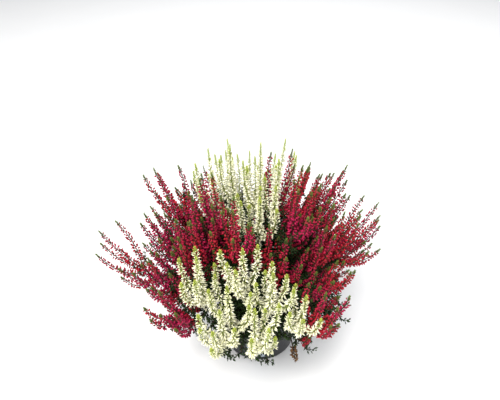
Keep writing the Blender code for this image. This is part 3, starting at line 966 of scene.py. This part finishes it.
def growTuft(points, start, length, look):
    # The green tip is a tuft of scale leaves round the growing end.
    count = look["tipLeaves"]
    foot = start + length * look["greenFrom"] - budRule["bare"] * length
    centres, ahead, across, second = framesAt(points, np.linspace(foot, start + length, count))
    radial = outAt(across, second, np.arange(count) * goldenAngle)
    part = np.linspace(0, 1, count)
    directions = tilted(radial, ahead, np.radians(tuftRule["tilt"] + tuftRule["steeper"] * part))
    width = look["tipLeafWidth"]
    shorter = 1 - tuftRule["shorter"] * part
    lengths = look["tipLeafLength"] * shorter * flowerDraws.uniform(*tuftRule["length"], count)
    return placeForms(
        leafForm, centres + radial * tuftRule["offset"], directions, radial, lengths,
        np.full(count, width), np.full(count, width * tuftRule["depth"]), 1,
        flowerDraws.random(count), 0.5 + 0.5 * part,
    )


def growSmallLeaves(points, start, length, look):
    # A few small leaves show between the buds.
    leaf = smallLeaves
    count = max(leaf["fewest"], int(length / leaf["spacing"]))
    wanted = np.linspace(start, start + length * look["greenFrom"], count)
    centres, ahead, across, second = framesAt(points, wanted)
    radial = outAt(across, second, flowerDraws.uniform(0, 2 * math.pi, count))
    directions = radial * leaf["aside"] + ahead * leaf["ahead"]
    return placeForms(
        leafForm, centres + radial * leaf["offset"], directions, radial, np.full(count, leaf["length"]),
        np.full(count, leaf["width"]), np.full(count, leaf["depth"]), 1, flowerDraws.random(count),
        np.full(count, leaf["age"]),
    )


def growRaceme(points, start, length, look, fullness):
    chunks = [
        growBuds(points, start, length, look, fullness),
        growTuft(points, start, length, look),
        growSmallLeaves(points, start, length, look),
    ]
    chance = flowerDraws.random()
    stalkEnd = start + length - 0.001
    chunks.append(tubeAlong(points, start, stalkEnd, look["stalk"], 5, 2, chance, (0.0, 1.0)))
    return chunks


def makeFlowers(spray):
    look = racemeLooks[spray["plant"]]
    foot = spray["start"] + crown["touchGap"]
    chunks = growRaceme(spray["points"], foot, spray["length"] * mainLength, look, 1.0)
    for points in spray["sides"]:
        chunks += growRaceme(points, 0.0, lengthsAlong(points)[-1], look, crown["sideFullness"])
    for points in spray["fillers"]:
        chunks += growRaceme(points, 0.0, lengthsAlong(points)[-1], look, fillerFullness)
    makePiece("flowers_" + spray["name"], chunks, look["materials"], spray["name"])


for spray in sprays:
    makeFlowers(spray)
print("racemes grown:", sum(1 + len(s["sides"]) + len(s["fillers"]) for s in sprays),
      "with", sum(triangleCounts.values()), "triangles")

# Leafy stems

stems = {
    "branchRadius": (0.0013, 0.0008), "branchAges": (0.0, 0.7), "branchStep": 0.005, "trunkTaper": 0.85,
    "leafStep": 0.0012, "leafLength": 0.0034, "leafWidth": 0.00110, "leafTilt": (24, 60), "bareShare": 0.7,
    "twigLeafStep": 0.0011, "twigRadius": (0.0005, 0.0003), "twigStep": 0.008, "twigStray": 0.002,
    "lowest": 0.044, "ruff": (-0.026, 0.016), "ruffTwigs": 8, "pairTwist": 0.08, "leafStray": 0.25,
    "leafLengths": (0.70, 1.25), "leafWidths": (0.80, 1.15), "leafOffset": 0.0003, "leafDepth": 0.6,
}
twigRule = {
    "aside": 0.80, "ahead": 0.60, "reach": 0.62, "rise": 0.38, "leaving": 0.4, "arriving": 0.8, "stray": 0.4,
}
# Where on the branch the twigs begin, how far apart they are, how long they are and how much they
# hang, and the size and the age of the leaves.
branchLooks = {
    "flowering": {
        "from": 0.30, "every": 0.0056, "twig": (0.014, 0.030), "droop": (0, 0.40), "leaf": 1.0, "age": 0.45,
    },
    "green": {
        "from": 0.35, "every": 0.0050, "twig": (0.012, 0.024), "droop": (0, 0.20), "leaf": 1.0, "age": 0.90,
    },
    "hidden": {
        "from": 0.35, "every": 0.0052, "twig": (0.014, 0.028), "droop": (0, 0.40), "leaf": 1.0, "age": 0.35,
    },
    "skirt": {
        "from": 0.40, "every": 0.0034, "twig": (0.010, 0.020), "droop": (0, 0.40), "leaf": 1.25, "age": 0.60,
    },
}
scaleLeaf = spindle(3, [(0.42, 1.0)])
leafDraws = np.random.default_rng(23)


def growLeaves(points, start, end, step, ages, size):
    count = max(4, int((end - start) / step))
    centres, ahead, across, second = framesAt(points, np.linspace(start, end, count))
    order, stray = np.arange(count), stems["leafStray"]
    turns = order * math.pi / 2 + (order // 2) * stems["pairTwist"]  # pairs set crosswise
    radial = outAt(across, second, turns + leafDraws.uniform(-stray, stray, count))
    directions = tilted(radial, ahead, np.radians(leafDraws.uniform(*stems["leafTilt"], count)))
    lengths = size * stems["leafLength"] * leafDraws.uniform(*stems["leafLengths"], count)
    widths = size * stems["leafWidth"] * leafDraws.uniform(*stems["leafWidths"], count)
    places, depths = centres + radial * stems["leafOffset"], widths * stems["leafDepth"]
    return placeForms(
        scaleLeaf, places, directions, radial, lengths, widths, depths, 1,
        leafDraws.random(count), np.linspace(ages[0], ages[1], count),
    )


def growTwig(place, ahead, radial, length, droop, look):
    rule = twigRule
    leave = radial * rule["aside"] + ahead * rule["ahead"]
    rise = np.array([0, 0, rule["rise"] - droop]) * length
    tip = place + leave * length * rule["reach"] + rise
    leaving = place + leave * length * rule["leaving"]
    twig = curvePoints([place, leaving, tip - rise * rule["arriving"], tip], 13)
    if tip[2] < stems["lowest"] or not aboveRim(twig):
        return []
    total, age = lengthsAlong(twig)[-1], look["age"]
    return [
        tubeAlong(twig, 0, total, stems["twigRadius"], 3, 1, 0.2, (0.1, age), stems["twigStep"]),
        growLeaves(twig, 0.002, total, stems["twigLeafStep"], (0.1, age + 0.25), look["leaf"]),
    ]


def twigPlaces(first, end, kind):
    places = np.linspace(first, end - 0.003, int((end - first) / branchLooks[kind]["every"]))
    if kind == "flowering":  # a ruff of leafy twigs stands round the foot of each raceme
        low, high = stems["ruff"]
        places = np.concatenate([places, np.linspace(end + low, end + high, stems["ruffTwigs"])])
    return places + leafDraws.uniform(-stems["twigStray"], stems["twigStray"], len(places))


def growBranch(points, end, kind):
    look = branchLooks[kind]
    chance, ages, step = leafDraws.random(), stems["branchAges"], stems["branchStep"]
    chunks = [tubeAlong(points, 0, end, stems["branchRadius"], 5, 0, chance, ages, step)]
    bare = crown["bareStem"] * stems["bareShare"]
    chunks.append(growLeaves(points, bare, end, stems["leafStep"], (0.0, look["age"]), look["leaf"]))
    places = twigPlaces(bare + (end - bare) * look["from"], end, kind)
    centres, ahead, across, second = framesAt(points, places)
    for k in range(len(places)):
        turn = k * goldenAngle + leafDraws.uniform(-twigRule["stray"], twigRule["stray"])
        radial = across[k] * math.cos(turn) + second[k] * math.sin(turn)
        length = leafDraws.uniform(*look["twig"])
        droop = leafDraws.uniform(*look["droop"])
        chunks += growTwig(centres[k], ahead[k], radial, length, droop, look)
    return chunks


def makeStems(plant):
    root = plantRoot(plant)
    low = soil["top"] - soil["rootDepth"]
    trunk = np.array([[root.x, root.y, h] for h in np.linspace(low, soil["forkHeight"], 12)])
    radii = (soil["woodyRadius"], soil["woodyRadius"] * stems["trunkTaper"])
    chunks = [tubeAlong(trunk, 0, lengthsAlong(trunk)[-1], radii, 10, 0, 0.4, (0.0, 0.1))]
    branches = [(s, s["start"] - crown["touchGap"], "flowering") for s in sprays]
    branches += [(s, s["length"] * 0.97, "green") for s in shoots]
    branches += [(s, lengthsAlong(s["points"])[-1], s["kind"]) for s in hidden]
    for branch, end, kind in branches:
        if branch["plant"] == plant:
            chunks += growBranch(branch["points"], end, kind)
    # The leaves take a near-black green that holds painted shade of the crown's inside.
    makePiece("leafyStems_" + plant, chunks, ("bark", "darkLeavesAndPaintedShade"), plant + "_stems")


for plant in plants:
    makeStems(plant)
print("stems grown:", {k: v for k, v in triangleCounts.items() if k.startswith("leafy")})

# One withered sprig hangs at the front and one at the left.

witheredArch = {"belowFork": 0.006, "rise": 0.034, "inward": 0.026, "over": 0.042}
withered = [  # root plant, place of the tip, length of the flowers
    ("white_front", (0.036, -0.096, 0.066), 0.015),
    ("red_left", (-0.096, -0.050, 0.062), 0.014),
]
witheredLook = dict(
    racemeLooks["red_left"], materials=("witheredBuds", "witheredBuds", "bark"), step=0.00034,
    budLength=0.0050, budWidth=0.0014, lowTilt=-35, highTilt=20, tipLeaves=8, greenFrom=0.97,
)


def makeWithered():
    chunks = []
    for plant, tip, flowers in withered:
        tip = np.array(tip)
        outward = tip * (1, 1, 0) / np.hypot(tip[0], tip[1])
        points = archCurve(plant, tip, outward, **witheredArch)
        total = lengthsAlong(points)[-1]
        chunks.append(tubeAlong(points, 0, total - flowers, (0.0010, 0.0007), 5, 2, 0.5, (0.0, 0.5)))
        chunks += growRaceme(points, total - flowers, flowers, witheredLook, 0.8)
    makePiece("witheredSprigs", chunks, witheredLook["materials"])


makeWithered()

# Pot

potLook = {"colour": (0.011, 0.012, 0.015), "scuff": (0.034, 0.036, 0.040), "grain": 900.0}
ridge = {"height": 0.030, "half": 0.002, "proud": 0.00025}
floorRing = 0.030  # a ring of the flat floor outside the drain holes


def potOuterRadius(height):
    slope = (pot["neckRadius"] - pot["baseRadius"]) / (pot["height"] - pot["rimBand"])
    return pot["baseRadius"] + slope * height


def arcPoints(centre, radius, start, end, steps):
    angles = [math.radians(start + (end - start) * k / steps) for k in range(steps + 1)]
    return [(centre[0] + radius * math.cos(a), centre[1] + radius * math.sin(a)) for a in angles]


def latheObject(name, profile, segments):
    # The profile runs from the axis at the bottom, round the outside, to the axis at the top.
    vertices = [(0, 0, profile[0][1])]
    for radius, height in profile[1:-1]:
        for k in range(segments):
            angle = 2 * math.pi * k / segments
            vertices.append((radius * math.cos(angle), radius * math.sin(angle), height))
    vertices.append((0, 0, profile[-1][1]))
    rings, faces = len(profile) - 2, []
    for k in range(segments):
        after = (k + 1) % segments
        faces.append((0, 1 + after, 1 + k))
        for ring in range(rings - 1):
            low = 1 + ring * segments
            faces.append((low + k, low + after, low + segments + after, low + segments + k))
        top = 1 + (rings - 1) * segments
        faces.append((top + k, top + after, len(vertices) - 1))
    return addObject(name, plainMesh(name, vertices, faces))


def potProfile():
    top, footRound = pot["height"], pot["footRound"]
    neck = top - pot["rimBand"]
    foot = (potOuterRadius(footRound) - footRound, footRound)
    rim, lip, wall, edge = pot["rimRadius"], pot["lip"], pot["wall"], pot["edge"]
    profile = [(0, 0), (floorRing, 0.0)] + arcPoints(foot, footRound, -90, 0, 10)
    for height in np.linspace(0.012, neck - 0.004, 14):
        proud = ridge["proud"] if abs(height - ridge["height"]) < ridge["half"] else 0.0
        profile.append((potOuterRadius(height) + proud, height))
    profile += [(potOuterRadius(neck - 0.001), neck - 0.001), (pot["neckRadius"] + 0.0004, neck)]
    profile += [(rim - 0.0004, neck + 0.0003), (rim, neck + 0.0011)]
    profile += [(rim + lip * 0.6, neck + 0.004), (rim + lip, top - edge)]
    profile += [(rim + lip * 0.6, top - 0.0005), (rim, top - 0.0001), (rim - lip, top)]
    # From here on it runs down the inside.
    profile += [(rim - wall, top), (rim - wall - lip * 0.7, top - 0.0004)]
    profile += [(rim - wall - lip, top - edge), (pot["neckRadius"] - wall, neck - edge)]
    profile += [(potOuterRadius(footRound) - wall, footRound + lip), (foot[0] + edge, pot["floor"])]
    return profile + [(floorRing, pot["floor"]), (0, pot["floor"])]


def makePot():
    body = latheObject("nurseryPot", potProfile(), pot["segments"])
    cutters = bpy.data.collections.new("drainCutters")
    bpy.context.scene.collection.children.link(cutters)
    for k in range(pot["drainHoles"]):
        angle = 2 * math.pi * (k + 0.5) / pot["drainHoles"]
        radius = pot["drainRadius"]
        cutter = latheObject("drainCutter", [(0, -0.002), (radius, -0.002), (radius, 0.004), (0, 0.004)], 24)
        cutter.location = (pot["drainRing"] * math.cos(angle), pot["drainRing"] * math.sin(angle), 0)
        bpy.context.scene.collection.objects.unlink(cutter)
        cutters.objects.link(cutter)
    cut = body.modifiers.new("drainHoles", "BOOLEAN")
    cut.operand_type = "COLLECTION"
    cut.collection = cutters
    bpy.context.view_layer.update()
    mesh = bpy.data.meshes.new_from_object(body.evaluated_get(bpy.context.evaluated_depsgraph_get()))
    body.modifiers.clear()
    body.data = mesh
    for cutter in list(cutters.objects):
        bpy.data.objects.remove(cutter, do_unlink=True)
    bpy.data.collections.remove(cutters)
    mesh.shade_smooth()
    mesh.set_sharp_from_angle(angle=math.radians(50))
    material, tree, shader = startMaterial("charcoalPlastic")
    scuffs = rangeOf(tree, noiseOf(tree, 55.0, 6.0, 0.7), 0.58, 0.78)
    colour = mixOf(tree, timesOf(tree, scuffs, 0.5), (*potLook["colour"], 1), (*potLook["scuff"], 1))
    tree.links.new(colour, shader.inputs["Base Color"])
    addGrain(tree, shader, potLook["grain"], 0.36, 0.52, 0.00012, 0.5)
    mesh.materials.clear()
    mesh.materials.append(material)
    register(body, "pot")


makePot()

label = {"angle": -92.0, "low": 0.009, "high": 0.033, "width": 0.028, "proud": 0.00015, "thick": 0.0001}


def makeLabel():
    # A plain pale sticker that follows the wall, without any print.
    across, up = 20, 8
    vertices, faces = [], []
    for row in range(up + 1):
        height = label["low"] + (label["high"] - label["low"]) * row / up
        for column in range(across + 1):
            offset = (column / across - 0.5) * label["width"]
            angle = math.radians(label["angle"]) + offset / potOuterRadius(height)
            radius = potOuterRadius(height) + label["proud"]
            vertices.append((radius * math.cos(angle), radius * math.sin(angle), height))
    for row in range(up):
        for column in range(across):
            a = row * (across + 1) + column
            faces.append((a, a + 1, a + across + 2, a + across + 1))
    mesh = plainMesh("blankLabel", vertices, faces)
    sticker = addObject("blankLabel", mesh)
    thick = sticker.modifiers.new("thickness", "SOLIDIFY")
    thick.thickness = label["thick"]
    thick.offset = 1.0
    mesh.shade_smooth()
    material, tree, shader = startMaterial("labelPaper")
    colour = mixOf(tree, noiseOf(tree, 260.0), (0.50, 0.58, 0.66, 1), (0.60, 0.67, 0.74, 1))
    tree.links.new(colour, shader.inputs["Base Color"])
    addGrain(tree, shader, 1200.0, 0.28, 0.42, 0.00004, 0.3)
    mesh.materials.append(material)
    register(sticker)


makeLabel()
print("pot made")

# Soil

soilLook = {"dark": (0.012, 0.008, 0.005), "light": (0.070, 0.044, 0.026), "crumbs": 520, "largest": 0.0028}


def makeSoilMaterial():
    material, tree, shader = startMaterial("peat")
    patches = rangeOf(tree, noiseOf(tree, 300.0, 6.0, 0.7), 0.35, 0.70)
    colour = mixOf(tree, patches, (*soilLook["dark"], 1), (*soilLook["light"], 1))
    tree.links.new(colour, shader.inputs["Base Color"])
    addGrain(tree, shader, 380.0, 0.80, 0.98, 0.0016, 0.9)
    return material


peat = makeSoilMaterial()
soilNode = frame["nodes"]["soil"]
for k in range(len(soilNode.material_slots)):
    soilNode.material_slots[k].material = peat


def makeCrumbs():
    chance = np.random.default_rng(5)
    count = soilLook["crumbs"]
    radius = 0.0480 * np.sqrt(chance.random(count))
    angle = chance.uniform(0, 2 * math.pi, count)
    x, y = radius * np.cos(angle), radius * np.sin(angle)
    wave = np.sin(190 * x + 1.3) * np.cos(240 * y + 0.4) + 0.6 * np.sin(520 * x - 410 * y)
    places = np.stack([x, y, soil["top"] + 0.0022 * wave * 0.6 - 0.0006], 1)
    directions = chance.normal(size=(count, 3))
    lengths = chance.uniform(0.4, 1.0, count) ** 2 * soilLook["largest"]
    widths = lengths * chance.uniform(0.30, 0.55, count)
    depths = widths * chance.uniform(0.7, 1.3, count)
    form = spindle(5, [(0.18, 0.85), (0.62, 1.0), (0.92, 0.55)])
    facing = np.roll(directions, 1, axis=1)
    chances = chance.random(count)
    chunk = placeForms(form, places, directions, facing, lengths, widths, depths, 0, chances, radius)
    makePiece("peatCrumbs", [chunk], (peat,))


makeCrumbs()
print("soil made")

# Floor


def makeFloor():
    half = studio["floorHalf"]
    corners = [(-half, -half, 0), (half, -half, 0), (half, half, 0), (-half, half, 0)]
    mesh = plainMesh("studioFloor", corners, [(0, 1, 2, 3)])
    floor = addObject("studioFloor", mesh)
    material, tree, shader = startMaterial("paleFloor")
    colour = mixOf(tree, noiseOf(tree, 9.0), (0.92, 0.92, 0.92, 1), (0.95, 0.95, 0.95, 1))
    tree.links.new(colour, shader.inputs["Base Color"])
    shader.inputs["Roughness"].default_value = 0.85
    mesh.materials.append(material)


makeFloor()

print("triangles:", sum(triangleCounts.values()), "largest piece:", max(triangleCounts.values()))
